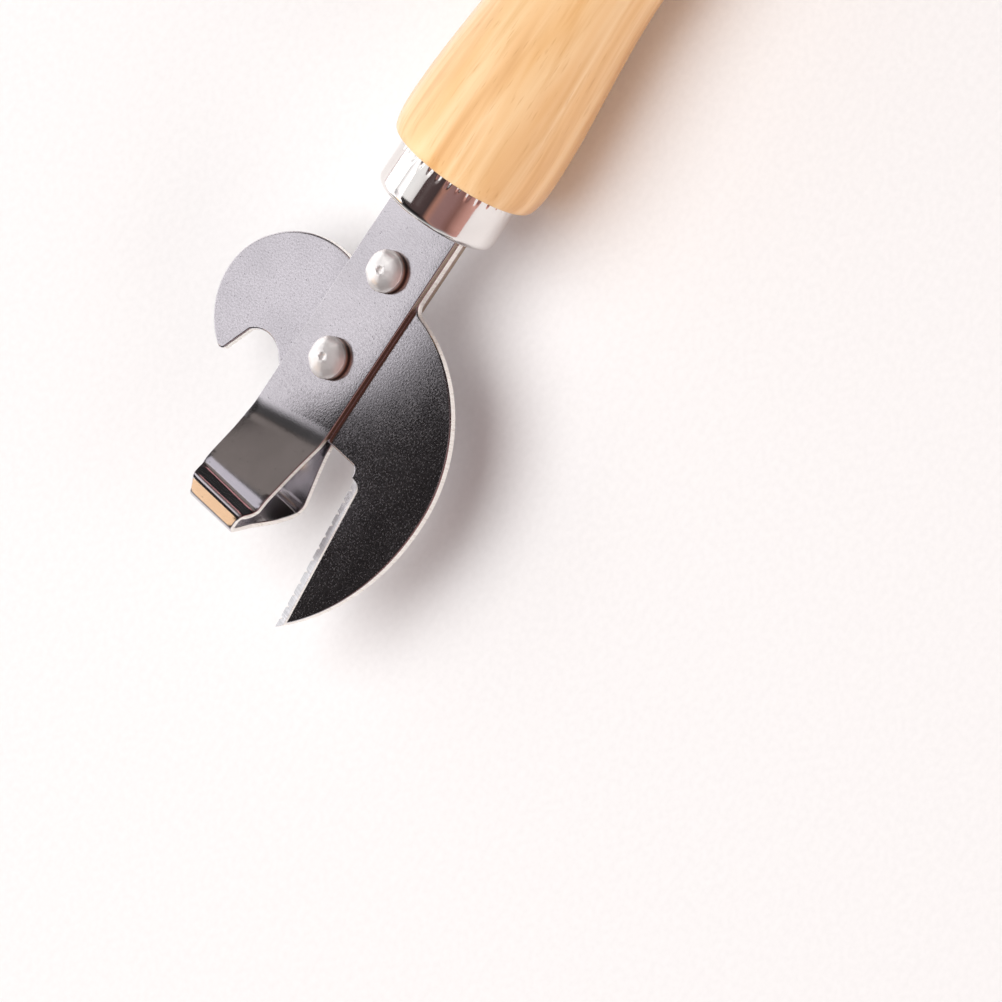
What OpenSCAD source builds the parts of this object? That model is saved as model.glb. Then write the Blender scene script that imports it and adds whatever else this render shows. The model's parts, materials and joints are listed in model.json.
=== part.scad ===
// Hand can opener with a turned wooden handle, in millimetres.
// +X runs along the handle axis to the blade tip, +Y points to the cutting blade's side and
// +Z is the front, where the rivet heads are. The origin is the centre of the grip.

/* [Handle] */
// Length of the wood that shows, from the ferrule's rim to the butt
handle_len = 95; // [80:1:110]
// Diameter of the bulb in front of the hand
bulb_d = 26.8; // [24:0.1:30]
// Diameter of the straight grip
grip_d = 22.8; // [20:0.1:24]
// Length of the straight grip
grip_len = 40; // [30:1:45]
// Length of the neck between the bulb and the grip
neck_len = 34; // [25:1:40]
// Length of the rounded shoulder between the bulb and the ferrule
shoulder_len = 5.3; // [3:0.1:8]

/* [Ferrule] */
// Outer diameter of the ferrule
ferrule_d = 21; // [19:0.1:22]
// Length of the ferrule
ferrule_len = 8.7; // [6:0.1:11]
// Thickness of the ferrule's sheet
ferrule_wall = 0.6; // [0.4:0.05:0.8]
// Outer radius of the ferrule's front corner
ferrule_corner = 0.9; // [0.7:0.1:1.2]

/* [Guide strip] */
// Width of the strip
strip_w = 15; // [14:0.1:16]
// Thickness of the strip
strip_t = 1; // [0.8:0.05:1.2]
// Width of the nose at the strip's folded end
nose_w = 9.9; // [9:0.1:13]
// Depth to which the strip and the blade plate enter the handle, from the ferrule's mouth
tang_len = 28; // [20:1:34]

/* [Blade plate] */
// Thickness of the blade plate
blade_t = 1.3; // [1:0.05:1.6]
// Width of the ground bevel along the cutting edge
bevel_w = 2.4; // [1.8:0.1:3]
// Thickness left at the cutting edge
edge_land = 0.1; // [0.05:0.05:0.2]

/* [Rivets] */
// Diameter of the rivet heads
head_d = 6.9; // [6.4:0.1:7.4]
// Height of the rivet heads
head_h = 2.4; // [2:0.1:2.8]
// Diameter of the closed ends on the back
tail_d = 6.2; // [5.6:0.1:7]
// Height of the closed ends on the back
tail_h = 1.3; // [1:0.1:1.6]
// Diameter of the rivet shanks
shank_d = 4; // [3.5:0.1:4.5]
// Distance from the ferrule's mouth to the first rivet
first_rivet_x = 11.5; // [10:0.1:13]
// Distance between the two rivets
rivet_gap = 16.7; // [15:0.1:18]

/* [Hidden] */

$fn = 96;
eps = 0.05;

// The ferrule's mouth lies this far in front of the origin. Places in front of it are given
// from the mouth, and placed() moves them there.
bulb_x = grip_len / 2 + neck_len;
rim_x = bulb_x + shoulder_len;
mouth_x = rim_x + ferrule_len;
butt_x = rim_x - handle_len;

bulb_r = bulb_d / 2;
grip_r = grip_d / 2;
ferrule_r = ferrule_d / 2;
tenon_r = ferrule_r - ferrule_wall;

stack_t = blade_t + 2 * strip_t;
layer_z = (blade_t + strip_t) / 2;
face_z = stack_t / 2;
rivet_xs = [first_rivet_x, first_rivet_x + rivet_gap];

// Points along an arc about c, from angle a0 to angle a1. The count follows the turn.
function arc(c, r, a0, a1, step = 5) =
    let (n = max(2, ceil(abs(a1 - a0) / step)))
    [for (i = [0:n]) c + r * [cos(a0 + (a1 - a0) * i / n), sin(a0 + (a1 - a0) * i / n)]];

function unit(v) = v / norm(v);
function left_of(v) = [-v[1], v[0]];
function cross_z(a, b) = a[0] * b[1] - a[1] * b[0];

// One side of a bent sheet's bend at corner p = [x, z, bend radius], between points a and b.
// The side lies off to the left of the sheet's centre line.
function bend_side(a, p, b, off) =
    let (
        d_in = unit([p[0] - a[0], p[1] - a[1]]),
        d_out = unit([b[0] - p[0], b[1] - p[1]]),
        turn = atan2(cross_z(d_in, d_out), d_in * d_out),
        side = sign(turn),
        start = [p[0], p[1]] - d_in * p[2] * tan(abs(turn) / 2),
        centre = start + left_of(d_in) * side * p[2],
        from = atan2(-left_of(d_in)[1] * side, -left_of(d_in)[0] * side)
    )
    arc(centre, p[2] - side * off, from, from + turn, 6);

// One side of the whole sheet along the centre line path, with square ends.
function sheet_side(path, off) =
    let (
        last = len(path) - 1,
        ends = [
            for (pair = [[0, 1], [last - 1, last]])
                left_of(unit([path[pair[1]][0] - path[pair[0]][0], path[pair[1]][1] - path[pair[0]][1]]))
        ]
    )
    concat(
        [[path[0][0], path[0][1]] + ends[0] * off],
        [for (i = [1:last - 1]) each bend_side(path[i - 1], path[i], path[i + 1], off)],
        [[path[last][0], path[last][1]] + ends[1] * off]
    );

function reversed(list) = [for (i = [len(list) - 1:-1:0]) list[i]];
function after_first(list) = [for (i = [1:len(list) - 1]) list[i]];

// Moves a shape from the ferrule's mouth to its place on the handle axis.
module placed() {
    translate([mouth_x, 0, 0]) children();
}

// Turns a shape from the Z axis onto the X axis, so that its +Z end faces +X.
module along_x() {
    rotate([0, 90, 0]) children();
}

// The handle is one piece of turned wood: a tenon for the ferrule, a flat-faced shoulder, a
// bulb, a neck, a straight grip and a domed butt. Its mortise holds the tang.
turn_step = 7.5;
neck_steps = 16;
shoulder_face_r = bulb_r - 1.1;
butt_flat_r = 4;
butt_len = -grip_len / 2 - butt_x;

// The profile is [radius, place along the axis], from the butt to the tenon's end.
handle_profile = concat(
    [[0, butt_x]],
    [
        for (a = [90:-turn_step:turn_step])
            [butt_flat_r + (grip_r - butt_flat_r) * cos(a), -grip_len / 2 - butt_len * sqrt(sin(a))]
    ],
    [[grip_r, -grip_len / 2]],
    [
        for (i = [0:neck_steps])
            [grip_r + (bulb_r - grip_r) * (1 - cos(180 * i / neck_steps)) / 2,
                grip_len / 2 + neck_len * i / neck_steps]
    ],
    [
        for (a = [turn_step:turn_step:90])
            [shoulder_face_r + (bulb_r - shoulder_face_r) * cos(a), bulb_x + shoulder_len * sin(a)]
    ],
    [[tenon_r, rim_x], [tenon_r, mouth_x - ferrule_wall], [0, mouth_x - ferrule_wall]]
);

module handle() {
    color("burlywood")
    difference() {
        along_x() rotate_extrude() polygon(handle_profile);
        translate([mouth_x - tang_len, -strip_w / 2, -face_z])
            cube([tang_len + eps, strip_w, stack_t]);
    }
}

// The ferrule is a drawn cup over the tenon. Its front has a slot for the strip.
ferrule_profile = concat(
    [[0, 0]],
    reversed(arc([ferrule_r - ferrule_corner, -ferrule_corner], ferrule_corner, 0, 90, 15)),
    [[ferrule_r, -ferrule_len], [tenon_r, -ferrule_len]],
    [[tenon_r, -ferrule_wall], [0, -ferrule_wall]]
);

module ferrule() {
    color("silver")
    placed()
    difference() {
        along_x() rotate_extrude() polygon(ferrule_profile);
        translate([-ferrule_len, -strip_w / 2, -face_z])
            cube([2 * ferrule_len, strip_w, stack_t]);
    }
}

// The guide strip is one strip of sheet folded double. Its two legs hold the blade plate
// between them, and the fold beyond them is the guide that hooks over a can's rim: its front
// layer rises to a turned-up lip, and its back layer drops and then climbs to the same nose.
// Corners of the centre line are [x, z, bend radius], from the front leg's end to the back one's.
fold_x = 38.6;
fold_path = [
    [-tang_len, layer_z, 0],
    [fold_x + 2.4, layer_z, 15],
    [fold_x + 13.2, layer_z + 3.6, 11],
    [fold_x + 15.4, layer_z + 3.85, 1.6],
    [fold_x + 17.1, layer_z + 5.55, 0.75],
    [fold_x + 20.2, layer_z + 4.7, 0.75],
    [fold_x + 17.5, -layer_z + 1.9, 20],
    [fold_x + 13.4, -layer_z - 4.4, 2.3],
    [fold_x + 1.4, -layer_z, 10],
    [-tang_len, -layer_z, 0]
];

// Outline of the strip from the front, as [x, half the width]. The sides draw in a little along
// the fold and more at the nose.
half_plan = [
    [-tang_len, strip_w / 2],
    [fold_x + 2, strip_w / 2],
    [fold_x + 5, strip_w / 2 - 0.3],
    [fold_x + 15.2, strip_w / 2 - 0.65],
    [fold_x + 16.6, strip_w / 2 - 1.05],
    [fold_x + 17.8, nose_w / 2 + 0.7],
    [fold_x + 21, nose_w / 2 - 0.1]
];
strip_plan = concat(half_plan, [for (p = reversed(half_plan)) [p[0], -p[1]]]);
// More than the strip's whole height, back bulge to nose
strip_depth = 20;

module guide_strip() {
    color("gainsboro")
    placed()
    difference() {
        intersection() {
            rotate([90, 0, 0])
                linear_extrude(strip_w + 2, center = true)
                    polygon(concat(
                        sheet_side(fold_path, strip_t / 2),
                        reversed(sheet_side(fold_path, -strip_t / 2))
                    ));
            linear_extrude(strip_depth, center = true) polygon(strip_plan);
        }
        for (x = rivet_xs)
            translate([x, 0, 0]) cylinder(d = shank_d, h = 2 * stack_t, center = true);
    }
}

// The blade plate is one flat stamping: a bottle hook on one side, the curved cutting blade on
// the other and, between them, the tang. Its front face is ground to a bevel at the edge.
plate_end_x = 38.9;
end_r = 1.5;
edge_angle = 6.2;
edge_dir = [cos(edge_angle), sin(edge_angle)];
edge_start = [41.2, 14.85];
edge_corner_r = 1.2;
edge_corner_x = plate_end_x + edge_corner_r;
edge_corner_c = [edge_corner_x,
    edge_start[1] + (edge_corner_x - edge_start[0]) * tan(edge_angle) - edge_corner_r / cos(edge_angle)];

// The blade's back is two arcs that join at back_blend: the far one runs to the tip, where it
// meets the edge, and the near one to a small fillet on the tang's side.
far_c = [39.3, -7.1];
far_r = 37.35;
back_blend = 93;
near_r = 25;
near_c = far_c + (far_r - near_r) * [cos(back_blend), sin(back_blend)];
edge_run = (edge_start - far_c) * edge_dir;
edge_offset = cross_z(edge_dir, edge_start - far_c);
blade_tip = edge_start + edge_dir * (sqrt(far_r * far_r - edge_offset * edge_offset) - edge_run);
tip_angle = atan2(blade_tip[1] - far_c[1], blade_tip[0] - far_c[0]);
root_r = 1.9;
root_c = [near_c[0] - sqrt(pow(near_r + root_r, 2) - pow(strip_w / 2 + root_r - near_c[1], 2)),
    strip_w / 2 + root_r];
root_angle = atan2(near_c[1] - root_c[1], near_c[0] - root_c[0]);

// The hook's back is two arcs that join at hook_blend. Its throat is one arc, which runs out
// at 45 degrees under the strip.
shoulder_c = [31.6, -9.9];
shoulder_r = 17.3;
hook_blend = 238;
back_r = 12.1;
back_c = shoulder_c + (shoulder_r - back_r) * [cos(hook_blend), sin(hook_blend)];
hook_root_r = 0.6;
hook_root_c = [shoulder_c[0] - sqrt(pow(shoulder_r + hook_root_r, 2)
    - pow(shoulder_c[1] + strip_w / 2 + hook_root_r, 2)), -strip_w / 2 - hook_root_r];
hook_root_angle = atan2(shoulder_c[1] - hook_root_c[1], shoulder_c[0] - hook_root_c[0]);
hook_tip_r = 1.05;
hook_tip_angle = -28;
hook_tip_end = 74;
hook_tip_c = back_c + (back_r - hook_tip_r) * [cos(hook_tip_angle), sin(hook_tip_angle)];
throat_c = [37.6, -12.9];
throat_r = 5;
throat_start = 226;
throat_end = 135;
run_out_start = throat_c + throat_r * [cos(throat_end), sin(throat_end)];
end_corner_y = run_out_start[1] + plate_end_x - run_out_start[0];

// The outline runs from the tang's back end round the hook, along the plate's front end and the
// cutting edge to the tip, and back along the blade's back.
blade_plan = concat(
    [[-tang_len, -strip_w / 2]],
    arc(hook_root_c, hook_root_r, 90, hook_root_angle, 15),
    after_first(arc(shoulder_c, shoulder_r, 180 + hook_root_angle, hook_blend, 4)),
    after_first(arc(back_c, back_r, hook_blend, 360 + hook_tip_angle, 4)),
    after_first(arc(hook_tip_c, hook_tip_r, hook_tip_angle, hook_tip_end, 12)),
    arc(throat_c, throat_r, throat_start, throat_end, 6),
    arc([plate_end_x - end_r, end_corner_y + end_r * tan(45 / 2)], end_r, -45, 0, 15),
    arc(edge_corner_c, edge_corner_r, 180, 90 + edge_angle, 14),
    [blade_tip],
    after_first(arc(far_c, far_r, tip_angle, back_blend, 2.5)),
    after_first(arc(near_c, near_r, back_blend, 180 + root_angle, 3)),
    after_first(arc(root_c, root_r, root_angle, -90, 12)),
    [[-tang_len, strip_w / 2]]
);
bevel_rise = atan((blade_t - edge_land) / bevel_w);
// The ground length, from the edge's start to beyond the blade's tip
bevel_len = 40;

module blade_plate() {
    color("dimgray")
    placed()
    difference() {
        translate([0, 0, -blade_t / 2]) linear_extrude(blade_t) polygon(blade_plan);
        for (x = rivet_xs)
            translate([x, 0, 0]) cylinder(d = shank_d, h = 2 * stack_t, center = true);
        // The ground bevel: the block's floor climbs from the edge to the front face
        translate([edge_start[0], edge_start[1], -blade_t / 2 + edge_land])
            rotate([0, 0, edge_angle])
                rotate([bevel_rise, 0, 0])
                    translate([0, -2 * bevel_w, 0]) cube([bevel_len, 5 * bevel_w, 2 * blade_t]);
    }
}

// One rivet: a shank through the stack, a domed head in front and a lower one behind.
head_rim = 1.2;
tail_rim = 0.2;
dimple_r = 1.3;
dimple_depth = 0.25;

// A cap of the given diameter and height, standing on z = 0 above a short straight rim
module cap(d, h, rim) {
    rise = h - rim;
    ball_r = (d * d / 4 + rise * rise) / (2 * rise);
    intersection() {
        cylinder(d = d, h = h);
        translate([0, 0, h - ball_r]) sphere(r = ball_r);
    }
}

module rivet() {
    cylinder(d = shank_d, h = stack_t, center = true);
    translate([0, 0, face_z])
        difference() {
            cap(head_d, head_h, head_rim);
            translate([0, 0, head_h + dimple_r - dimple_depth]) sphere(r = dimple_r);
        }
    translate([0, 0, -face_z]) mirror([0, 0, 1]) cap(tail_d, tail_h, tail_rim);
}

module rivets() {
    color("whitesmoke")
    placed()
        for (x = rivet_xs)
            translate([x, 0, 0]) rivet();
}

handle();
ferrule();
guide_strip();
blade_plate();
rivets();
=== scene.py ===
import json
import math

import bmesh
import bpy
from mathutils import Matrix, Vector


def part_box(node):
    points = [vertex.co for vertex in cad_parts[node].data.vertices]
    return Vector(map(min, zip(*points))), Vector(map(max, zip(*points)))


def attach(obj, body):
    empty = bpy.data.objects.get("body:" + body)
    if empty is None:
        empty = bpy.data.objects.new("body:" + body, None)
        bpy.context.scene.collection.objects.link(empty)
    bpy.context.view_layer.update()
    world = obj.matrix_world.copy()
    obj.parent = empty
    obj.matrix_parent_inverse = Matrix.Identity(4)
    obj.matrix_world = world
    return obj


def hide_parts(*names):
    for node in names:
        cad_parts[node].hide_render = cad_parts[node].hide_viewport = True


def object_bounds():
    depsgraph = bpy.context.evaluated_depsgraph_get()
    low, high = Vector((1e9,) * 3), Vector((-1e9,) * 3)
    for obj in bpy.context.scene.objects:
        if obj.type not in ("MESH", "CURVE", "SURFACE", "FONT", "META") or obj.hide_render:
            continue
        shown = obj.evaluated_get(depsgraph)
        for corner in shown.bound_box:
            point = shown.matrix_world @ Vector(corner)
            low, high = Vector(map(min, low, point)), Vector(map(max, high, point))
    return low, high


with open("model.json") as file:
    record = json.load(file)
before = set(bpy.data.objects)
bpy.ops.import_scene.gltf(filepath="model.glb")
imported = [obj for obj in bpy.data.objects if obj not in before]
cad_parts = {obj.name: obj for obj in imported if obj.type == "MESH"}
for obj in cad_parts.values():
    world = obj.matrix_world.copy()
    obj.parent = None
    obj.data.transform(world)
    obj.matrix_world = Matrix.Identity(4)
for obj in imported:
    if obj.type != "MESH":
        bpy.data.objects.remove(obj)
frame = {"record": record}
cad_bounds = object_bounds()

# Shapes are worked out in millimetres, measured like the CAD model's: x from the ferrule's
# mouth, y to the cutting blade's side, z to the front. new_piece() makes them metres in the
# row frame.
MM = 0.001


def box_mm(node):
    """Lowest and highest corners of a CAD node in millimetres, in the row frame."""
    low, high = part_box(node)
    return low / MM, high / MM


ferrule_low, ferrule_high = box_mm("ferrule")
handle_low, handle_high = box_mm("handle")
strip_low, strip_high = box_mm("guide_strip")
plate_low, plate_high = box_mm("blade_plate")
rivets_low, rivets_high = box_mm("rivets")
grip = next(m for m in frame["record"]["mounts"] if m["name"] == "grip")

MOUTH_X = ferrule_high.x
FERRULE_LEN = ferrule_high.x - ferrule_low.x
FERRULE_R = ferrule_high.y
STRIP_W = strip_high.y - strip_low.y
TANG_LEN = MOUTH_X - strip_low.x
PLATE_T = plate_high.z - plate_low.z
STRIP_T = 1.0
LAYER_Z = (PLATE_T + STRIP_T) / 2
FACE_Z = PLATE_T / 2 + STRIP_T


# ---------------------------------------------------------------- mesh helpers

def new_piece(name, bm, material_list, sharp_degrees=32.0, weighted=False):
    """Makes an object of a mesh drawn in millimetres from the ferrule's mouth."""
    bmesh.ops.transform(
        bm, matrix=Matrix.Scale(MM, 4) @ Matrix.Translation((MOUTH_X, 0, 0)), verts=bm.verts
    )
    bmesh.ops.recalc_face_normals(bm, faces=bm.faces)
    mesh = bpy.data.meshes.new(name)
    bm.to_mesh(mesh)
    bm.free()
    for material in material_list:
        mesh.materials.append(material)
    piece = bpy.data.objects.new(name, mesh)
    bpy.context.scene.collection.objects.link(piece)
    shade(piece, sharp_degrees, weighted)
    return piece


def shade(piece, sharp_degrees, weighted=False):
    """Smooth shading with sharp edges by angle; weighted keeps big flat faces flat."""
    piece.data.shade_smooth()
    piece.data.set_sharp_from_angle(angle=math.radians(sharp_degrees))
    if weighted:
        normals = piece.modifiers.new("normals", "WEIGHTED_NORMAL")
        normals.keep_sharp = True
        normals.weight = 100
        apply_modifiers(piece)


def apply_modifiers(piece):
    """Replaces the piece's mesh with the one its modifiers make of it."""
    bpy.context.view_layer.update()
    evaluated = piece.evaluated_get(bpy.context.evaluated_depsgraph_get())
    finished = bpy.data.meshes.new_from_object(evaluated)
    piece.modifiers.clear()
    piece.data = finished


# Edges shorter than this, in metres, are left over from a cut.
SLIVER = 0.000001


def cut(piece, cutter):
    """Takes the cutter's volume out of the piece and deletes the cutter."""
    boolean = piece.modifiers.new("cut", "BOOLEAN")
    boolean.operation = "DIFFERENCE"
    boolean.solver = "EXACT"
    boolean.object = cutter
    apply_modifiers(piece)
    bpy.data.objects.remove(cutter)
    bm = bmesh.new()
    bm.from_mesh(piece.data)
    bmesh.ops.dissolve_degenerate(bm, dist=SLIVER, edges=bm.edges)
    bm.to_mesh(piece.data)
    bm.free()


def bridge(bm, rings):
    """Quads between successive rings of vertices."""
    for ring, following in zip(rings, rings[1:]):
        count = len(ring)
        for i in range(count):
            j = (i + 1) % count
            bm.faces.new((ring[i], ring[j], following[j], following[i]))


def loft(sections):
    """A closed mesh through sections, each a list of the same number of points."""
    bm = bmesh.new()
    rings = [[bm.verts.new(point) for point in section] for section in sections]
    bridge(bm, rings)
    bm.faces.new(reversed(rings[0]))
    bm.faces.new(rings[-1])
    return bm


def lathe(profile, segments, radius_at=None):
    """A closed mesh turned about X from [radius, x] points. The end points have no radius."""
    bm = bmesh.new()
    rings = []
    for radius, x in profile[1:-1]:
        ring = []
        for i in range(segments):
            turn = 2 * math.pi * i / segments
            r = radius_at(radius, x, turn) if radius_at else radius
            ring.append(bm.verts.new((x, r * math.cos(turn), r * math.sin(turn))))
        rings.append(ring)
    bridge(bm, rings)
    for ring, x in ((rings[0], profile[0][1]), (rings[-1], profile[-1][1])):
        centre = bm.verts.new((x, 0, 0))
        for i in range(segments):
            bm.faces.new((centre, ring[i], ring[(i + 1) % segments]))
    return bm


# A slot is cut to this far in front of the ferrule's mouth.
PAST_MOUTH = 1


def strip_slot(low_x):
    """A cutter for the slot that takes the strip and the plate, from low_x to past the mouth."""
    y, z = STRIP_W / 2, FACE_Z
    ends = [[(x, -y, -z), (x, y, -z), (x, y, z), (x, -y, z)] for x in (low_x, PAST_MOUTH)]
    return new_piece("slot", loft(ends), [])


def arc(centre, radius, start, end, step=3.0):
    """Points along an arc, its angles in degrees."""
    count = max(2, math.ceil(abs(end - start) / step))
    angles = [math.radians(start + (end - start) * i / count) for i in range(count + 1)]
    return [
        Vector((centre[0] + radius * math.cos(a), centre[1] + radius * math.sin(a))) for a in angles
    ]


def polar(centre, radius, angle):
    """The point of a circle at an angle in degrees."""
    return arc(centre, radius, angle, angle)[0]


def between(table, x):
    """Value at x from a table of (x, value) rows, in straight steps between them."""
    if x <= table[0][0]:
        return table[0][1]
    for (x0, a), (x1, b) in zip(table, table[1:]):
        if x <= x1:
            t = (x - x0) / (x1 - x0)
            return a + (b - a) * t
    return table[-1][1]


# ------------------------------------------------------------ material helpers

def grey(value):
    return (value, value, value)


def fill_ramp(ramp, stops):
    """Gives a colour ramp its (position, colour) stops."""
    elements = ramp.color_ramp.elements
    for position, _ in stops[1:-1]:
        elements.new(position)
    for element, (position, colour) in zip(elements, stops):
        element.position = position
        element.color = (*colour, 1)


class Shader:
    """A material with its Principled shader, and short calls for the nodes that feed it."""

    def __init__(self, name, constants):
        self.material = bpy.data.materials.new(name)
        self.material.use_nodes = True
        self.tree = self.material.node_tree
        self.shader = self.tree.nodes["Principled BSDF"]
        for socket, value in constants.items():
            self.shader.inputs[socket].default_value = value
        self.place = self.node("ShaderNodeTexCoord").outputs["Object"]

    def node(self, kind, inputs=None, **settings):
        made = self.tree.nodes.new(kind)
        for key, value in settings.items():
            setattr(made, key, value)
        for socket, value in (inputs or {}).items():
            if isinstance(value, bpy.types.NodeSocket):
                self.tree.links.new(value, made.inputs[socket])
            else:
                made.inputs[socket].default_value = value
        return made

    def feed(self, socket, source):
        self.tree.links.new(source, self.shader.inputs[socket])

    def scaled(self, scale):
        inputs = {"Vector": self.place, "Scale": scale}
        return self.node("ShaderNodeMapping", inputs).outputs["Vector"]

    def noise(self, scale, detail=2.0, roughness=0.5, vector=None, distortion=0.0):
        inputs = {"Vector": vector or self.place, "Scale": scale, "Detail": detail,
                  "Roughness": roughness, "Distortion": distortion}
        return self.node("ShaderNodeTexNoise", inputs).outputs["Fac"]

    def ramp(self, source, stops):
        made = self.node("ShaderNodeValToRGB", {"Fac": source})
        fill_ramp(made, stops)
        return made.outputs["Color"]

    def range(self, source, from_min, from_max, to_min, to_max):
        inputs = {"Value": source, "From Min": from_min, "From Max": from_max,
                  "To Min": to_min, "To Max": to_max}
        return self.node("ShaderNodeMapRange", inputs).outputs["Result"]

    def maths(self, operation, a, b):
        return self.node("ShaderNodeMath", {0: a, 1: b}, operation=operation).outputs["Value"]

    def multiply(self, factor, a, b):
        made = self.node("ShaderNodeMix", data_type="RGBA", blend_type="MULTIPLY")
        for socket, value in ((0, factor), (6, a), (7, b)):
            if isinstance(value, bpy.types.NodeSocket):
                self.tree.links.new(value, made.inputs[socket])
            else:
                made.inputs[socket].default_value = value
        return made.outputs[2]

    def bump(self, height, distance):
        inputs = {"Height": height, "Distance": distance, "Strength": 1.0}
        return self.node("ShaderNodeBump", inputs).outputs["Normal"]


def varnished_wood():
    """Pale turned wood under clear varnish: long grain along X, short pores, honey growth lines."""
    s = Shader("varnished_wood", {
        "Coat Weight": 0.8, "Coat Roughness": 0.2, "Coat IOR": 1.5, "Specular IOR Level": 0.35,
    })
    long_grain = s.noise(1.0, 5.0, 0.55, s.scaled((22, 420, 420)), 0.6)
    rings = s.noise(1.0, 2.0, 0.45, s.scaled((6, 110, 110)), 1.2)
    pores = s.noise(1.0, 1.0, 0.5, s.scaled((160, 2600, 2600)))
    blotch = s.noise(38.0, 2.0)
    base = s.ramp(rings, [
        (0.30, (0.70, 0.38, 0.14)), (0.44, (0.85, 0.55, 0.26)), (0.60, (0.92, 0.67, 0.38)),
        (0.76, (0.78, 0.47, 0.20)),
    ])
    streaks = s.ramp(long_grain, [
        (0.32, (0.86, 0.74, 0.58)), (0.52, grey(1.0)), (0.75, (1.0, 0.97, 0.92)),
    ])
    pore_marks = s.ramp(pores, [(0.26, (0.76, 0.62, 0.47)), (0.36, grey(1.0))])
    tone = s.ramp(blotch, [(0.35, (0.94, 0.90, 0.84)), (0.65, grey(1.0))])
    colour = s.multiply(0.75, base, streaks)
    colour = s.multiply(0.4, colour, pore_marks)
    s.feed("Base Color", s.multiply(0.8, colour, tone))
    s.feed("Roughness", s.range(long_grain, 0.3, 0.7, 0.50, 0.34))
    s.feed("Normal", s.bump(s.maths("ADD", long_grain, pores), 0.00003))
    return s.material


# Length, in metres, over which the grain weakens where a strip begins to be smoother.
SMOOTH_OVER = 0.008


def satin_plate(name, colour, roughness, grain_scale, grain_depth, speckle, smooth_from=None):
    """Nickel plate over rolled sheet: orange peel grain, cloudy tone and tiny pits.

    speckle is how much rougher the dull specks in the plate are. smooth_from is where along X,
    in metres, the bent end begins to be smoother.
    """
    s = Shader(name, {"Metallic": 1.0})
    grain = s.noise(grain_scale, 1.5, 0.5)
    specks = s.noise(3300.0, 1.0)
    cloud = s.noise(95.0, 3.0, 0.6)
    pits = s.node("ShaderNodeTexVoronoi", {"Vector": s.place, "Scale": 900.0}).outputs["Distance"]
    pit_marks = s.ramp(pits, [(0.05, grey(0.25)), (0.11, grey(1.0))])
    tinted = s.ramp(cloud, [(0.35, tuple(c * 0.88 for c in colour)), (0.62, colour)])
    s.feed("Base Color", s.multiply(0.7, tinted, pit_marks))
    rough = s.range(cloud, 0.3, 0.7, roughness * 0.88, roughness * 1.12)
    if smooth_from:
        along = s.node("ShaderNodeSeparateXYZ", {0: s.place}).outputs["X"]
        still = s.range(along, smooth_from, smooth_from + SMOOTH_OVER, 1.0, 0.4)
        grain = s.maths("MULTIPLY", grain, still)
        specks = s.maths("MULTIPLY", specks, still)
    s.feed("Roughness", s.maths("ADD", rough, s.range(specks, 0.42, 0.72, 0.0, speckle)))
    s.feed("Normal", s.bump(grain, grain_depth))
    return s.material


# Lengths, in metres, over which painted shade fades along an edge and up a rivet's head.
PAINTED_SHADE_FADE = 0.002
PAINTED_SHADE_HEIGHT = 0.0009


def sheared_edge(name, painted_shade_to=None):
    """The sheets' cut sides: brighter, with fine vertical shear marks.

    painted_shade_to is how far along X, in metres, the cut sides are darkened between the layers
    with painted shade.
    """
    s = Shader(name, {"Metallic": 1.0})
    marks = s.noise(1.0, 3.0, 0.6, s.scaled((2600, 2600, 300)))
    colour = s.ramp(marks, [(0.3, (0.80, 0.75, 0.70)), (0.62, (0.95, 0.92, 0.88))])
    # Painted shade: along the tang the cut sides turn dark brown, as if in the shade between the
    # layers.
    if painted_shade_to:
        along = s.node("ShaderNodeSeparateXYZ", {0: s.place}).outputs["X"]
        unshaded = s.range(along, painted_shade_to, painted_shade_to + PAINTED_SHADE_FADE, 0.0, 1.0)
        painted_shade = s.ramp(unshaded, [(0.0, (0.34, 0.27, 0.22)), (1.0, grey(1.0))])
        colour = s.multiply(1.0, colour, painted_shade)
    s.feed("Base Color", colour)
    s.feed("Roughness", s.range(marks, 0.3, 0.7, 0.24, 0.4))
    s.feed("Normal", s.bump(marks, 0.000008))
    return s.material


def ground_steel():
    """The ground bevel: bright steel with fine grinding lines across the edge."""
    s = Shader("ground_steel", {"Metallic": 1.0})
    lines = s.noise(1.0, 3.0, 0.6, s.scaled((5200, 240, 240)))
    cloud = s.noise(260.0, 2.0)
    s.feed("Base Color", s.ramp(lines, [(0.30, (0.42, 0.42, 0.44)), (0.60, (0.60, 0.60, 0.62))]))
    s.feed("Roughness", s.range(cloud, 0.3, 0.7, 0.24, 0.34))
    s.feed("Normal", s.bump(lines, 0.00001))
    return s.material


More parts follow.
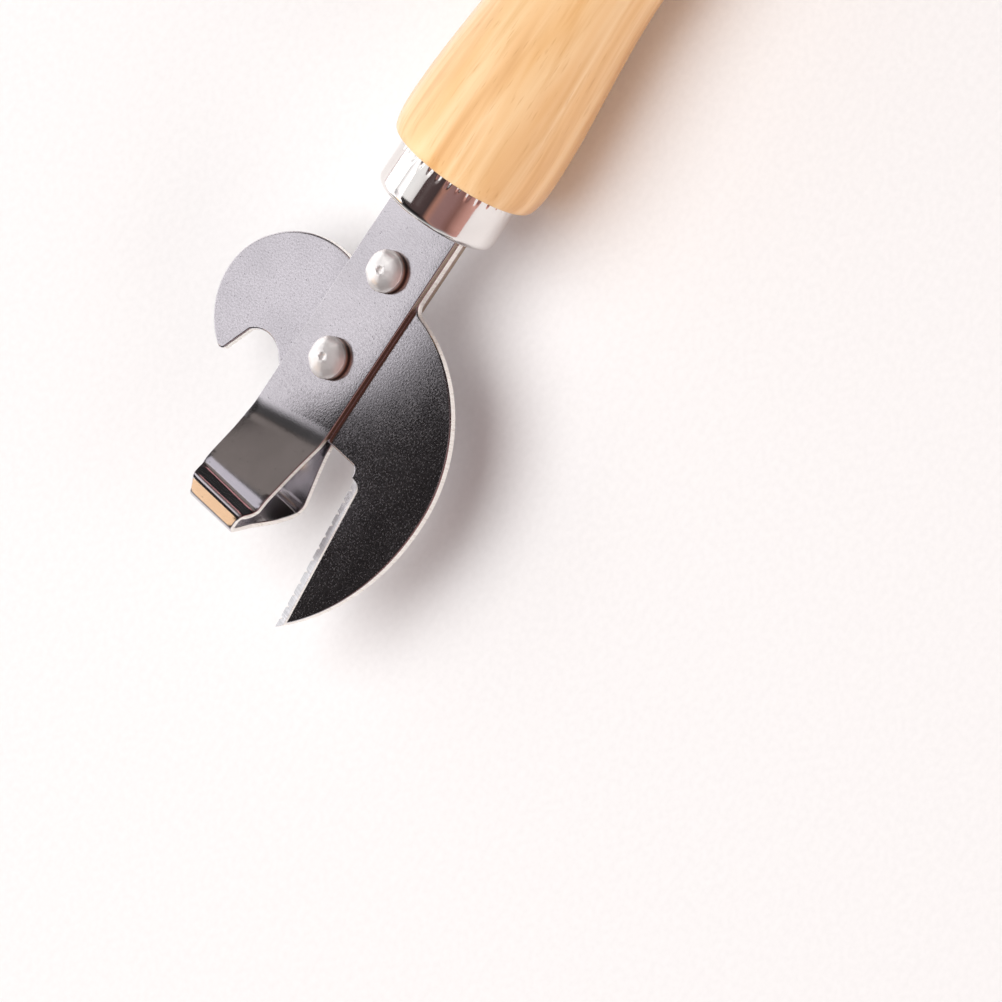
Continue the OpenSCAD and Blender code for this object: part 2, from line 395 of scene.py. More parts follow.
def polished_plate(name, colour, roughness, wave_depth, metallic=1.0, painted_shade_at=None):
    """Bright plate on drawn or headed metal: slight waviness, scuffs and smudges.

    painted_shade_at is how far from the middle plane, in metres, the crevices lie that are darkened
    with painted shade.
    """
    s = Shader(name, {"Metallic": metallic})
    wave = s.noise(240.0, 1.0)
    scuffs = s.noise(1.0, 3.0, 0.6, s.scaled((3200, 160, 160)))
    smudge = s.noise(120.0, 3.0, 0.6)
    tone = s.ramp(smudge, [(0.3, tuple(c * 0.93 for c in colour)), (0.6, colour)])
    # Painted shade: the head's colour darkens to near black close to the strip, as its contact
    # shadow would.
    if painted_shade_at:
        height = s.node("ShaderNodeSeparateXYZ", {0: s.place}).outputs["Z"]
        from_middle = s.maths("ABSOLUTE", height, 0.0)
        risen = s.range(from_middle, painted_shade_at, painted_shade_at + PAINTED_SHADE_HEIGHT, 0.0, 1.0)
        painted_shade = s.ramp(risen, [
            (0.25, (0.10, 0.06, 0.05)), (0.7, (0.75, 0.5, 0.4)), (1.0, grey(1.0)),
        ])
        tone = s.multiply(1.0, tone, painted_shade)
    s.feed("Base Color", tone)
    marked = s.range(scuffs, 0.45, 0.75, roughness, roughness * 1.6)
    s.feed("Roughness", s.maths("ADD", marked, s.range(smudge, 0.45, 0.7, 0.0, 0.05)))
    s.feed("Normal", s.bump(wave, wave_depth))
    return s.material


# --------------------------------------------------------------------- camera

# The camera looks along the photograph's line of sight. The object's handle axis runs down to
# the left in the picture. The distance, in metres, is long, so that parallel edges stay parallel.
CAMERA_RIGHT = Vector((-0.537, 0.6203, -0.5714))
CAMERA_UP = Vector((-0.8056, -0.5781, 0.1295))
CAMERA_BACK = Vector((-0.25, 0.53, 0.81))
VIEW_CENTRE = Vector((MOUTH_X + 27.2, 39.5, 0)) * MM
HEAD_CENTRE = Vector((MOUTH_X + 30, 0, 0)) * MM
VIEW_WIDTH = 156.6 * MM
CAMERA_DISTANCE = 5.0


def add_camera():
    data = bpy.data.cameras.new("camera")
    head_distance = CAMERA_DISTANCE + (VIEW_CENTRE - HEAD_CENTRE).dot(CAMERA_BACK)
    data.lens = data.sensor_width * head_distance / VIEW_WIDTH
    data.clip_start = 0.01
    camera = bpy.data.objects.new("camera", data)
    bpy.context.scene.collection.objects.link(camera)
    turn = Matrix((CAMERA_RIGHT, CAMERA_UP, CAMERA_BACK)).transposed().to_4x4()
    camera.matrix_world = Matrix.Translation(VIEW_CENTRE + CAMERA_BACK * CAMERA_DISTANCE) @ turn
    bpy.context.scene.camera = camera


# --------------------------------------------------------------------- handle

# Degrees between the rings of the handle's rounded ends, and faces round it.
TURN_STEP = 5
HANDLE_FACES = 160


def make_handle(material):
    """One piece of turned wood: butt, grip, neck, bulb, shoulder and tenon."""
    grip_r = grip["dims"]["r_mm"]
    grip_end = grip["dims"]["length_mm"] / 2 - MOUTH_X
    grip_start = -grip["dims"]["length_mm"] / 2 - MOUTH_X
    butt_x = handle_low.x - MOUTH_X
    tenon_x = handle_high.x - MOUTH_X
    bulb_r = handle_high.y
    rim_x = -FERRULE_LEN
    shoulder_len = 5.3
    shoulder_drop = 1.1
    shoulder_face_r = bulb_r - shoulder_drop
    face_break = 0.35
    bulb_x = rim_x - shoulder_len
    neck_len = bulb_x - grip_end
    butt_flat_r = 4.0
    grip_steps, neck_steps = 8, 40
    tenon_r = FERRULE_R + tenon_x
    profile = [(0, butt_x)]
    for a in range(90, 0, -TURN_STEP):
        turn = math.radians(a)
        radius = butt_flat_r + (grip_r - butt_flat_r) * math.cos(turn)
        profile.append((radius, grip_start + (butt_x - grip_start) * math.sqrt(math.sin(turn))))
    profile += [
        (grip_r, grip_start + (grip_end - grip_start) * i / grip_steps) for i in range(grip_steps)
    ]
    for i in range(neck_steps + 1):
        share = (1 - math.cos(math.pi * i / neck_steps)) / 2
        profile.append((grip_r + (bulb_r - grip_r) * share, grip_end + neck_len * i / neck_steps))
    for a in range(TURN_STEP, 90, TURN_STEP):
        turn = math.radians(a)
        radius = shoulder_face_r + (bulb_r - shoulder_face_r) * math.cos(turn)
        profile.append((radius, bulb_x + shoulder_len * math.sin(turn)))
    profile += [
        (shoulder_face_r, rim_x - face_break / 3), (shoulder_face_r - face_break, rim_x),
        (tenon_r, rim_x), (tenon_r, tenon_x), (0, tenon_x),
    ]
    piece = new_piece("handle_wood", lathe(profile, HANDLE_FACES), [material])
    cut(piece, strip_slot(-TANG_LEN))
    shade(piece, 40)
    return piece


# -------------------------------------------------------------------- ferrule

FERRULE_WALL = 0.6
FERRULE_CORNER = 1.3
RIM_BREAK = 0.12
CRIMPS = 36
FACES_PER_CRIMP = 12
CRIMP_LEN = 1.5
CRIMP_DEPTH = 0.26


def crimped(radius, x, turn):
    """Radius of the ferrule with its ring of small crimp notches at the wood's side."""
    reach = 1 - (x + FERRULE_LEN) / CRIMP_LEN
    if reach <= 0 or radius < FERRULE_R - FERRULE_WALL / 2:
        return radius
    notch = max(0.0, math.cos(turn * CRIMPS)) ** 2
    return radius - CRIMP_DEPTH * notch * reach * (2 - reach)


def make_ferrule(material):
    """A drawn cup with a rolled front corner and a crimped rim."""
    inner_r = FERRULE_R - FERRULE_WALL
    corner = arc((-FERRULE_CORNER, FERRULE_R - FERRULE_CORNER), FERRULE_CORNER, 90, 0, 9)
    inner_corner = 0.3
    rings = 12
    profile = [
        (0, -FERRULE_WALL), (inner_r - inner_corner, -FERRULE_WALL),
        (inner_r, -FERRULE_WALL - inner_corner), (inner_r, -FERRULE_LEN),
        (FERRULE_R - RIM_BREAK, -FERRULE_LEN), (FERRULE_R, -FERRULE_LEN + RIM_BREAK),
    ]
    # The rings lie closer together towards the crimps.
    profile += [
        (FERRULE_R, -FERRULE_LEN + (FERRULE_LEN - FERRULE_CORNER) * (i / rings) ** 1.5)
        for i in range(1, rings)
    ]
    profile += [(point[1], point[0]) for point in corner] + [(0, 0)]
    piece = new_piece("ferrule_cup", lathe(profile, CRIMPS * FACES_PER_CRIMP, crimped), [material])
    cut(piece, strip_slot(-FERRULE_LEN / 2))
    shade(piece, 40)
    return piece


# ---------------------------------------------------------------- guide strip

# Where the strip starts to bend. The fold's other corners are measured from it.
FOLD_X = 38.6
# The front layer's first bend runs askew: it lies this much further out on the hook's side.
FOLD_SKEW = 4.0


def fold_path(share):
    """Corners of the folded strip's centre line: x, z and bend radius.

    share is 0 at the strip's side by the cutting blade and 1 at the other.
    """
    return [
        (-TANG_LEN, LAYER_Z, 0),
        (FOLD_X + 0.4 + FOLD_SKEW * share, LAYER_Z, 18 - 6 * share),
        (FOLD_X + 12.8 + 0.8 * share, LAYER_Z + 3.6, 11 - 3 * share),
        (FOLD_X + 15.5 - 0.2 * share, LAYER_Z + 3.85, 2.2),
        (FOLD_X + 17.1, LAYER_Z + 5.55, 0.75),
        (FOLD_X + 20.2, LAYER_Z + 4.7, 0.75),
        (FOLD_X + 17.5, -LAYER_Z + 1.9, 20),
        (FOLD_X + 13.4, -LAYER_Z - 4.4, 2.3),
        (FOLD_X + 1.4, -LAYER_Z, 10),
        (-TANG_LEN, -LAYER_Z, 0),
    ]


# How far each side draws in along the fold, more at the nose, as (x, distance).
DRAW_IN = [
    (FOLD_X + 1.5, 0), (FOLD_X + 3.2, 0.16), (FOLD_X + 5.5, 0.34), (FOLD_X + 15, 0.64),
    (FOLD_X + 16.2, 0.95), (FOLD_X + 17.2, 1.5), (FOLD_X + 18.2, 2.05), (FOLD_X + 21, 2.65),
]
EDGE_R = 0.2
LONGEST_STEP = 1.5
BEND_STEPS = 14
COLUMNS = 10
# A face is on the strip's side if the y of its normal is over this.
SIDE_FACING = 0.85


def strip_stations(share):
    """Points on one side's centre line with the sheet's normal at each, as (x, z), (nx, nz)."""
    path = fold_path(share)
    straight = fold_path(0)
    counts = [
        max(1, math.ceil(math.dist(a[:2], b[:2]) / LONGEST_STEP))
        for a, b in zip(straight, straight[1:])
    ]
    stations = []
    leg_start = Vector(path[0][:2])
    for before, corner, after, count in zip(path, path[1:], path[2:], counts):
        here = Vector(corner[:2])
        way_in = (here - Vector(before[:2])).normalized()
        way_out = (Vector(after[:2]) - here).normalized()
        turn = math.atan2(way_in.x * way_out.y - way_in.y * way_out.x, way_in.dot(way_out))
        reach = math.copysign(corner[2], turn)
        left = Vector((-way_in.y, way_in.x))
        start = here - way_in * corner[2] * math.tan(abs(turn) / 2)
        centre = start + left * reach
        stations += [(leg_start.lerp(start, i / count), left) for i in range(count)]
        for i in range(BEND_STEPS + 1):
            normal = Matrix.Rotation(turn * i / BEND_STEPS, 2) @ left
            leg_start = centre - normal * reach
            if i < BEND_STEPS:
                stations.append((leg_start, normal))
    end = Vector(path[-1][:2])
    left = Vector((0, -1))
    stations += [(leg_start.lerp(end, i / counts[-1]), left) for i in range(counts[-1] + 1)]
    return stations


def sheet_section(half_width, thickness, radius):
    """A rounded rectangle across the sheet, as (y, distance along the sheet's normal)."""
    flat = half_width - radius
    rise = thickness / 2 - radius
    across = [flat * (1 - 2 * i / COLUMNS) for i in range(1, COLUMNS)]
    return (
        [(p.x, p.y) for p in arc((flat, rise), radius, 0, 90, 22.5)]
        + [(y, thickness / 2) for y in across]
        + [(p.x, p.y) for p in arc((-flat, rise), radius, 90, 180, 22.5)]
        + [(p.x, p.y) for p in arc((-flat, -rise), radius, 180, 270, 22.5)]
        + [(-y, -thickness / 2) for y in across]
        + [(p.x, p.y) for p in arc((flat, -rise), radius, 270, 360, 22.5)]
    )


def make_guide_strip(material, edge_material):
    """One strip folded double. Its front layer turns up to a lip and its back layer bulges."""
    sections = []
    for (near, near_normal), (far, far_normal) in zip(strip_stations(0), strip_stations(1)):
        section = []
        half_width = STRIP_W / 2 - between(DRAW_IN, near.x)
        for y, off in sheet_section(half_width, STRIP_T, EDGE_R):
            share = min(1, max(0, 0.5 - y / STRIP_W))
            place = near.lerp(far, share) + near_normal.lerp(far_normal, share).normalized() * off
            section.append((place.x, y, place.y))
        sections.append(section)
    piece = new_piece("guide_strip_formed", loft(sections), [material, edge_material], 50,
                      weighted=True)
    for face in piece.data.polygons:
        face.material_index = 1 if abs(face.normal.y) > SIDE_FACING else 0
    return piece


# ---------------------------------------------------------------- blade plate

# The stamping's outline. A C is a centre, an R a radius, and angles are in degrees.
PLATE_END_X = 38.9
END_R = 1.5
EDGE_ANGLE = 6.2
EDGE_START = Vector((41.2, 14.85))
EDGE_DIR = Vector((math.cos(math.radians(EDGE_ANGLE)), math.sin(math.radians(EDGE_ANGLE))))
EDGE_IN = Vector((-EDGE_DIR.y, EDGE_DIR.x))
EDGE_CORNER_R = 1.2
FAR_C, FAR_R = Vector((39.3, -7.1)), 37.35
BACK_BLEND = 93
NEAR_R = 25.0
NEAR_C = polar(FAR_C, FAR_R - NEAR_R, BACK_BLEND)
ROOT_R = 1.9
SHOULDER_C, SHOULDER_R = Vector((31.6, -9.9)), 17.3
HOOK_BLEND = 238
HOOK_BACK_R = 12.1
HOOK_BACK_C = polar(SHOULDER_C, SHOULDER_R - HOOK_BACK_R, HOOK_BLEND)
HOOK_ROOT_R = 0.6
HOOK_TIP_R = 1.05
HOOK_TIP_ANGLE, HOOK_TIP_END = -28, 74
HOOK_TIP_C = polar(HOOK_BACK_C, HOOK_BACK_R - HOOK_TIP_R, HOOK_TIP_ANGLE)
THROAT_C, THROAT_R = Vector((37.6, -12.9)), 5.0
THROAT_START, THROAT_END = 226, 135


def angle_to(start, end):
    return math.degrees(math.atan2(end.y - start.y, end.x - start.x))


def plate_outline():
    """The stamping's outline, anticlockwise from the tang's back end round the hook."""
    half = STRIP_W / 2
    hook_root_y = -half - HOOK_ROOT_R
    hook_root_reach = math.sqrt((SHOULDER_R + HOOK_ROOT_R) ** 2 - (SHOULDER_C.y - hook_root_y) ** 2)
    hook_root = Vector((SHOULDER_C.x - hook_root_reach, hook_root_y))
    hook_turn = angle_to(hook_root, SHOULDER_C)
    root_reach = math.sqrt((NEAR_R + ROOT_R) ** 2 - (half + ROOT_R - NEAR_C.y) ** 2)
    root = Vector((NEAR_C.x - root_reach, half + ROOT_R))
    root_turn = angle_to(root, NEAR_C)
    run_out = polar(THROAT_C, THROAT_R, THROAT_END)
    end_corner_y = run_out.y + PLATE_END_X - run_out.x
    edge_corner_x = PLATE_END_X + EDGE_CORNER_R
    edge_slope = math.tan(math.radians(EDGE_ANGLE))
    edge_corner = (
        edge_corner_x,
        EDGE_START.y + (edge_corner_x - EDGE_START.x) * edge_slope
        - EDGE_CORNER_R / math.cos(math.radians(EDGE_ANGLE)),
    )
    end_corner = (PLATE_END_X - END_R, end_corner_y + END_R * math.tan(math.radians(45 / 2)))
    from_far = EDGE_START - FAR_C
    along = from_far.dot(EDGE_DIR)
    to_tip = math.sqrt(FAR_R ** 2 - from_far.length_squared + along ** 2) - along
    tip = EDGE_START + EDGE_DIR * to_tip
    return (
        [Vector((-TANG_LEN, -half))]
        + arc(hook_root, HOOK_ROOT_R, 90, hook_turn, 15)
        + arc(SHOULDER_C, SHOULDER_R, 180 + hook_turn, HOOK_BLEND, 2.5)[1:]
        + arc(HOOK_BACK_C, HOOK_BACK_R, HOOK_BLEND, 360 + HOOK_TIP_ANGLE, 3)[1:]
        + arc(HOOK_TIP_C, HOOK_TIP_R, HOOK_TIP_ANGLE, HOOK_TIP_END, 12)[1:]
        + arc(THROAT_C, THROAT_R, THROAT_START, THROAT_END, 5)
        + arc(end_corner, END_R, -45, 0, 15)
        + arc(edge_corner, EDGE_CORNER_R, 180, 90 + EDGE_ANGLE, 10)
        + [EDGE_START, tip]
        + arc(FAR_C, FAR_R, angle_to(FAR_C, tip), BACK_BLEND, 1.5)[1:]
        + arc(NEAR_C, NEAR_R, BACK_BLEND, 180 + root_turn, 2)[1:]
        + arc(root, ROOT_R, root_turn, -90, 10)[1:]
        + [Vector((-TANG_LEN, half))]
    )


# The least cosine that a mitre is worked out with, which keeps sharp corners from running out.
SHARPEST_MITRE = 0.35


def inset(outline, distance):
    """The outline moved inwards, mitred at its corners."""
    moved = []
    befores, afters = outline[-1:] + outline[:-1], outline[1:] + outline[:1]
    for before, here, after in zip(befores, outline, afters):
        way_in = (here - before).normalized()
        way_out = (after - here).normalized()
        mitre = Vector((-way_in.y - way_out.y, way_in.x + way_out.x)).normalized()
        reach = distance / max(SHARPEST_MITRE, mitre.dot(Vector((-way_in.y, way_in.x))))
        moved.append(here + mitre * reach)
    return moved


# The die rolls the front edges in and down by these, and leaves a small break behind.
ROLL_IN = 0.34
ROLL_DOWN = 0.3
BACK_BREAK = 0.07


def plate_sections():
    """The plate's outline at each height: a sharp back edge and a die-rolled front one."""
    half = PLATE_T / 2
    mid_break = BACK_BREAK * 0.3
    heights = [(BACK_BREAK, -half), (mid_break, -half + mid_break), (0, -half + BACK_BREAK)]
    for a in (0, 18, 36, 54, 72, 90):
        turn = math.radians(a)
        heights.append((ROLL_IN * (1 - math.cos(turn)), half - ROLL_DOWN * (1 - math.sin(turn))))
    outline = plate_outline()
    return [[(p.x, p.y, z) for p in inset(outline, depth)] for depth, z in heights]


# The ground bevel. Its two flats meet at BEVEL_BREAK, as (distance into the blade, z).
BEVEL_W = 2.4
BEVEL_BREAK = (1.5, -0.12)
EDGE_LAND = 0.1
RUN_OUT_START = -0.75
RUN_OUT_LEN = 1.6
BEVEL_END = 40.0
NOTCH_PITCH = 2.1
NOTCH_FIRST = 1.2
NOTCHES = 12
# Each notch is a V, as (along the edge, up) from its foot. The foot runs from a point outside
# the edge and below the plate's back to one in the blade, and leans a little along the edge.
NOTCH_SIDES = ((0, 0), (0.8, 0.8), (-0.45, 0.8))
NOTCH_OUTSIDE, NOTCH_BELOW = 0.3, 0.55
NOTCH_REACH, NOTCH_TOP = 1.15, 0.04
NOTCH_LEAN = 0.1
# Faces no further than these margins outside the flats are bevel if the z of their normal is
# within BEVEL_UP. Cut sides have a smaller z, and away from the bevel it is under SIDE_UP.
BEVEL_MARGIN_OUT, BEVEL_MARGIN_IN = 0.4, 0.1
BEVEL_UP = (0.85, 0.985)
SIDE_UP = 0.5


def on_edge(u, v, z):
    """A point u along the cutting edge, v into the blade and at height z."""
    place = EDGE_START + EDGE_DIR * u + EDGE_IN * v
    return (place.x, place.y, z)


def grinding_cutter():
    """The volume that grinding takes away: two flats, and a rounded run-out at the hook's end."""
    half = PLATE_T / 2
    floor = -half + EDGE_LAND
    break_v, break_z = BEVEL_BREAK
    rise = (half - break_z) / (BEVEL_W - break_v)
    outside, over = -3, 1.0
    stations = []
    for a in range(6, 91, 14):
        turn = math.radians(a)
        stations.append((RUN_OUT_START + RUN_OUT_LEN * (1 - math.cos(turn)), math.sin(turn)))
    stations.append((BEVEL_END, 1.0))
    return loft([
        [on_edge(u, outside, floor), on_edge(u, 0, floor), on_edge(u, break_v * share, break_z),
         on_edge(u, (BEVEL_W + over / rise) * share, half + over), on_edge(u, outside, half + over)]
        for u, share in stations
    ])


def notch_cutters():
    """Small V grooves across the edge's flat, left by the serrating wheel."""
    bm = bmesh.new()
    low_z = -PLATE_T / 2 - NOTCH_BELOW
    for i in range(NOTCHES):
        u = NOTCH_FIRST + NOTCH_PITCH * i
        near = [
            bm.verts.new(on_edge(u + along, -NOTCH_OUTSIDE, low_z + up))
            for along, up in NOTCH_SIDES
        ]
        far = [
            bm.verts.new(on_edge(u + NOTCH_LEAN + along, NOTCH_REACH, NOTCH_TOP + up))
            for along, up in NOTCH_SIDES
        ]
        bridge(bm, [near, far])
        bm.faces.new(reversed(near))
        bm.faces.new(far)
    return bm


def make_blade(plate_material, ground_material, edge_material):
    """One stamping with die-rolled front edges, its ground bevel and the serrated edge."""
    piece = new_piece("blade_stamping", loft(plate_sections()),
                      [plate_material, ground_material, edge_material], 30)
    cut(piece, new_piece("grinding", grinding_cutter(), []))
    cut(piece, new_piece("notches", notch_cutters(), []))
    for face in piece.data.polygons:
        place = Vector(face.center) / MM - Vector((MOUTH_X, 0, 0))
        v = (place.xy - EDGE_START).dot(EDGE_IN)
        u = (place.xy - EDGE_START).dot(EDGE_DIR)
        in_bevel = -BEVEL_MARGIN_OUT < v < BEVEL_W + BEVEL_MARGIN_IN and u > RUN_OUT_START
        flat_cut = BEVEL_UP[0] < face.normal.z < BEVEL_UP[1]
        side = abs(face.normal.z) < (BEVEL_UP[0] if in_bevel else SIDE_UP)
        face.material_index = 1 if in_bevel and flat_cut else 2 if side else 0
    shade(piece, 30, weighted=True)
    return piece


# --------------------------------------------------------------------- rivets

RIVET_FACES = 96
# Height above the strip from which the dome has its soft flats.
FLATS_FROM = 1.2


def hammered(radius, x, turn):
    """Radius of a head whose dome has a few soft flats left by the closing tool."""
    if x < FACE_Z + FLATS_FROM:
        return radius
    return radius * (1 + 0.02 * math.cos(5 * turn + 0.6) + 0.015 * math.cos(8 * turn + 2.0))


def make_rivets(material):
    """Two dome-headed rivets with a small punch dimple, their tails closed flat behind."""
    head_r = (rivets_high.y - rivets_low.y) / 2
    head_h = rivets_high.z - FACE_Z
    tail_h = -FACE_Z - rivets_low.z
    tail_r = head_r - 0.35
    shank_r = tail_r - 0.05
    head_rim, tail_rim = 1.1, 0.3
    dimple_r, dimple_depth, crown_flat = 0.6, 0.18, 0.02
    gap = rivets_high.x - rivets_low.x - 2 * head_r
    first = rivets_low.x + head_r - MOUTH_X
    dome = [
        (head_r * math.cos(math.radians(a)),
         FACE_Z + head_rim + (head_h - head_rim) * math.sin(math.radians(a)) ** 1.2)
        for a in range(0, 83, 6)
    ]
    dome = [(r, z) for r, z in dome if r > dimple_r * 1.5]
    dimple = [
        (dimple_r * share, FACE_Z + head_h - dimple_depth * (1 - share ** 2) - crown_flat)
        for share in (1.15, 1.0, 0.75, 0.5, 0.25)
    ]
    tail = [
        (tail_r * math.cos(math.radians(a)) ** 0.7,
         -FACE_Z - tail_rim - (tail_h - tail_rim) * math.sin(math.radians(a)))
        for a in range(80, -1, -8)
    ]
    profile = [(0, -FACE_Z - tail_h)] + tail + [(shank_r, -FACE_Z), (head_r, FACE_Z)]
    profile += dome + dimple + [(0, FACE_Z + head_h - dimple_depth - crown_flat)]
    joined = bmesh.new()
    for centre in (first, first + gap):
        one = lathe(profile, RIVET_FACES, hammered)
        turn = Matrix.Translation((centre, 0, 0)) @ Matrix.Rotation(-math.pi / 2, 4, "Y")
        bmesh.ops.transform(one, matrix=turn, verts=one.verts)
        mesh = bpy.data.meshes.new("one")
        one.to_mesh(mesh)
        one.free()
        joined.from_mesh(mesh)
        bpy.data.meshes.remove(mesh)
    return new_piece("dome_rivets", joined, [material], 50)


# ------------------------------------------------------------ studio and lights

def add_floor():
    bm = bmesh.new()
    reach = 3.0
    corners = ((-reach, -reach), (reach, -reach), (reach, reach), (-reach, reach))
    bm.faces.new([bm.verts.new((x, y, 0)) for x, y in corners])
    mesh = bpy.data.meshes.new("floor")
    bm.to_mesh(mesh)
    bm.free()
    s = Shader("floor_paper", {"Roughness": 0.9, "Specular IOR Level": 0.1})
    paper = s.noise(900.0, 2.0)
    s.feed("Base Color", s.ramp(paper, [(0.3, grey(0.83)), (0.7, grey(0.86))]))
    mesh.materials.append(s.material)
    floor = bpy.data.objects.new("floor", mesh)
    floor.location.z = cad_bounds[0][2]
    bpy.context.scene.collection.objects.link(floor)


def link_light(name, matrix, width, depth, radiance, colour=(1, 1, 1), spread=180,
               glossy=True, oval=False):
    """A soft light. Its power follows from its size and the radiance it shows.

    spread is the full angle that its grid lets out, in degrees, and 180 is no grid.
    """
    data = bpy.data.lights.new(name, "AREA")
    data.shape = "ELLIPSE" if oval else "RECTANGLE"
    data.size, data.size_y = width, depth
    data.spread = math.radians(spread)
    half = data.spread / 2
    kept = 1 if spread == 180 else 1 - half / math.tan(half)
    filled = math.pi / 4 if oval else 1
    data.energy = radiance * kept * math.pi * width * depth * filled
    data.color = colour
    light = bpy.data.objects.new(name, data)
    bpy.context.scene.collection.objects.link(light)
    light.matrix_world = matrix
    light.visible_camera = False
    light.visible_glossy = glossy


def add_box(name, offset, width, depth, radiance, colour=(1, 1, 1), spread=180, glossy=True):
    """A softbox some way off, aimed at the head. Sizes and places are in metres."""
    centre = Vector((MOUTH_X * MM, 0, 0))
    turn = Vector(offset).to_track_quat("Z", "Y").to_matrix().to_4x4()
    link_light(name, Matrix.Translation(centre + Vector(offset)) @ turn, width, depth, radiance,
               colour, spread, glossy)


def mirrored(tilt):
    """Where the camera's line of sight goes from a face whose normal leans back by tilt degrees."""
    normal = Vector((-math.sin(math.radians(tilt)), 0, math.cos(math.radians(tilt))))
    return 2 * normal.dot(CAMERA_BACK) * normal - CAMERA_BACK


def add_card(name, seen_at, tilt, edge, distance, length, depth, radiance, colour=(1, 1, 1),
             aim=None, spread=180, oval=False):
    """A card near the object, in millimetres. Faces with the given tilt mirror it.

    The middle of one long edge shows in the mirror at seen_at. That edge shows along the
    direction of edge, and the card lies on its left. An oval one has its centre at seen_at.
    """
    ray = mirrored(tilt).normalized()
    axis = Vector(aim).normalized() if aim else ray
    line = Vector((*edge, 0))
    along = (line - ray * line.dot(axis) / ray.dot(axis)).normalized()
    into = axis.cross(along)
    middle = Vector((MOUTH_X, 0, 0)) + Vector(seen_at) + ray * distance
    if not oval:
        middle += into * depth / 2
    turn = Matrix((along, into, axis)).transposed().to_4x4()
    link_light(name, Matrix.Translation(middle * MM) @ turn, length * MM, depth * MM, radiance,
               colour, spread, oval=oval)


def add_lights():
    # The flat front faces mirror the oval key card, so the hook and the strip are light and the
    # cutting blade falls off to charcoal. Its grid keeps it out of the strip's first bend.
    add_card("key_card", (15.5, -23, FACE_Z), 0, (0.97, 0.243), 60, 68, 56, 2.08, (1.0, 0.97, 1.0),
             aim=(0.42, -0.5, 0.76), spread=42, oval=True)
    # Small cards and boxes give the bent end of the strip its bands.
    add_box("slope_box", (-0.28, -0.53, 0.8), 0.46, 0.3, 0.26, (1.0, 0.88, 0.8))
    add_box("bend_box", (0.05, -0.53, 0.84), 0.2, 0.3, 0.06)
    add_card("level_card", (53.9, 0, 5.5), 4, (0, 1), 16, 16, 5, 0.75, (0.96, 0.92, 1.0))
    add_box("palm_box", (-0.29, -0.265, 0.31), 0.045, 0.15, 1.1, (1.0, 0.5, 0.5))
    add_box("nose_box", (0.67, -0.53, 0.51), 0.2, 0.2, 1.5, (1.0, 0.66, 0.38))
    add_box("ferrule_card", (-0.001, -0.0241, 0.0465), 0.023, 0.041, 1.4, spread=80)
    add_box("left_box", (0.25, -1.1, 0.42), 1.3, 0.74, 1.25)
    add_box("right_box", (-0.1, 1.2, 0.4), 1.2, 0.5, 3.2, (1.0, 0.95, 0.92), glossy=False)
    add_box("ceiling", (0.2, -0.3, 1.3), 1.6, 1.6, 2.9, glossy=False)


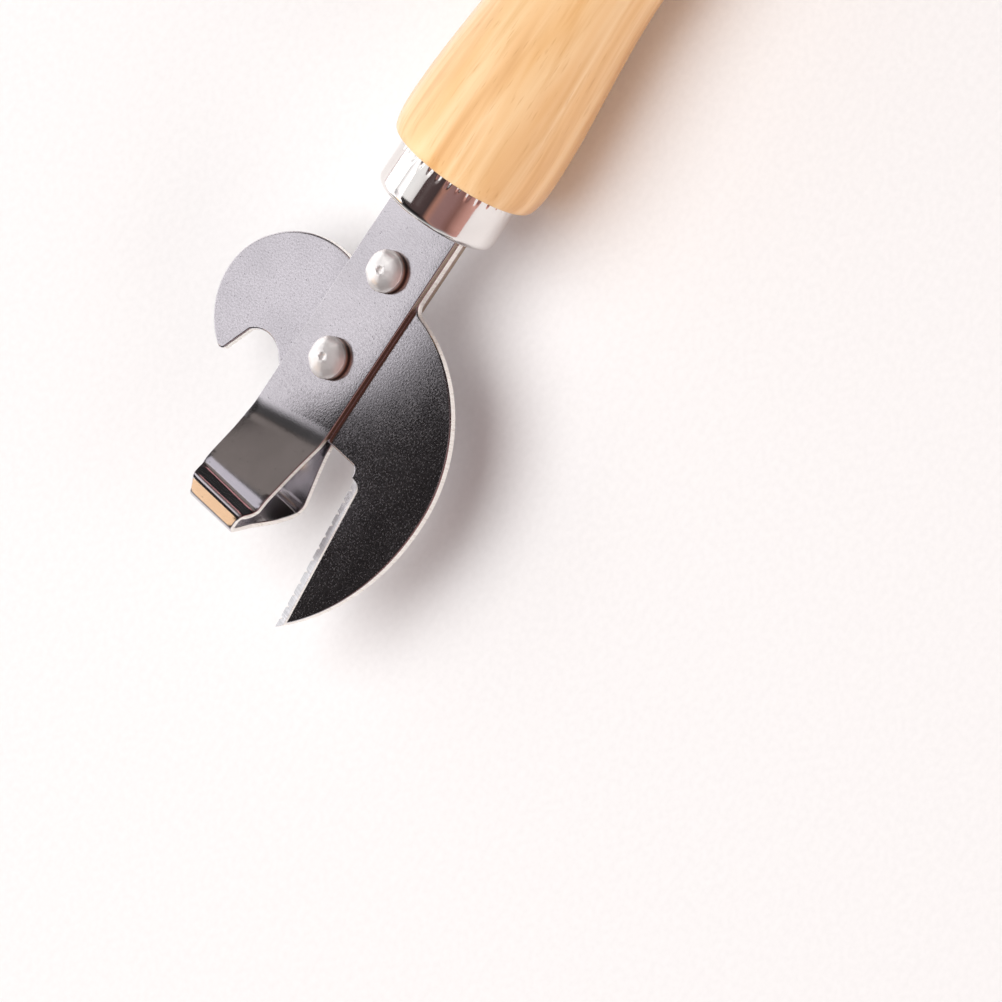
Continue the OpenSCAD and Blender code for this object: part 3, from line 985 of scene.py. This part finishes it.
def add_world():
    """Bright at the horizon, dark higher up and light again at the zenith.

    It is warm on the cutting blade's side, and dark at the handle's end, as if behind a hand.
    """
    world = bpy.data.worlds.new("studio")
    world.use_nodes = True
    tree = world.node_tree
    coords = tree.nodes.new("ShaderNodeTexCoord")
    split = tree.nodes.new("ShaderNodeSeparateXYZ")
    tree.links.new(coords.outputs["Generated"], split.inputs[0])

    def by_direction(axis, stops):
        shift = tree.nodes.new("ShaderNodeMapRange")
        shift.inputs["From Min"].default_value, shift.inputs["From Max"].default_value = -1.0, 1.0
        ramp = tree.nodes.new("ShaderNodeValToRGB")
        tree.links.new(split.outputs[axis], shift.inputs["Value"])
        tree.links.new(shift.outputs["Result"], ramp.inputs["Fac"])
        fill_ramp(ramp, [((position + 1) / 2, colour) for position, colour in stops])
        return ramp.outputs["Color"]

    def blend(kind, a, b):
        mix = tree.nodes.new("ShaderNodeMix")
        mix.data_type, mix.blend_type = "RGBA", kind
        mix.inputs[0].default_value = 1.0
        tree.links.new(a, mix.inputs[6])
        tree.links.new(b, mix.inputs[7])
        return mix.outputs[2]

    height = by_direction("Z", [
        (-1.0, grey(0.8)), (0.0, grey(0.8)), (0.2, grey(0.5)), (0.5, grey(0.07)),
        (0.7, grey(0.018)), (0.86, grey(0.018)), (0.93, (0.07, 0.055, 0.055)),
        (0.968, (0.09, 0.067, 0.067)), (0.985, grey(0.3)), (1.0, grey(0.42)),
    ])
    side = by_direction("Y", [
        (0.0, grey(0.0)), (0.30, (0.07, 0.05, 0.05)), (0.42, (0.45, 0.25, 0.19)),
        (0.56, (0.33, 0.21, 0.20)), (0.76, (0.31, 0.19, 0.18)), (0.87, (0.24, 0.13, 0.11)),
        (0.93, (0.46, 0.26, 0.22)), (1.0, (0.80, 0.50, 0.42)),
    ])
    hand = by_direction("X", [
        (-1.0, grey(0.08)), (-0.7, grey(0.08)), (-0.45, (0.9, 0.7, 0.7)), (1.0, grey(1.0)),
    ])
    tint = by_direction("Y", [
        (-1.0, grey(1.0)), (0.62, grey(1.0)), (0.84, (0.9, 0.52, 0.46)), (1.0, (0.9, 0.52, 0.46)),
    ])
    sky = blend("MULTIPLY", blend("LIGHTEN", blend("MULTIPLY", height, tint), side), hand)
    tree.links.new(sky, tree.nodes["Background"].inputs["Color"])
    bpy.context.scene.world = world
    bpy.context.scene.view_settings.view_transform = "Standard"


# ---------------------------------------------------------------- the assembly

add_camera()
add_floor()
add_world()
add_lights()

strip_metal = satin_plate("satin_nickel", (0.66, 0.64, 0.665), 0.15, 3000.0, 0.000009, 0.08,
                          smooth_from=(MOUTH_X + FOLD_X - 2) * MM)
blade_metal = satin_plate("satin_blade", (0.66, 0.64, 0.67), 0.155, 3100.0, 0.000009, 0.14)
strip_edge = sheared_edge("strip_edge", painted_shade_to=(MOUTH_X + FOLD_X) * MM)
blade_edge = sheared_edge("blade_edge")
chrome = polished_plate("ferrule_chrome", (0.87, 0.84, 0.82), 0.07, 0.00001)
bright = polished_plate("rivet_plate", (0.95, 0.93, 0.92), 0.32, 0.00003, 0.8, painted_shade_at=FACE_Z * MM)

for piece, node, slot in (
    (make_handle(varnished_wood()), "handle", "handle_wood"),
    (make_ferrule(chrome), "ferrule", "ferrule_metal"),
    (make_guide_strip(strip_metal, strip_edge), "guide_strip", "strip_metal"),
    (make_blade(blade_metal, ground_steel(), blade_edge), "blade_plate", "blade_steel"),
    (make_rivets(bright), "rivets", "rivet_metal"),
):
    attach(piece, "root")
    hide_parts(node)
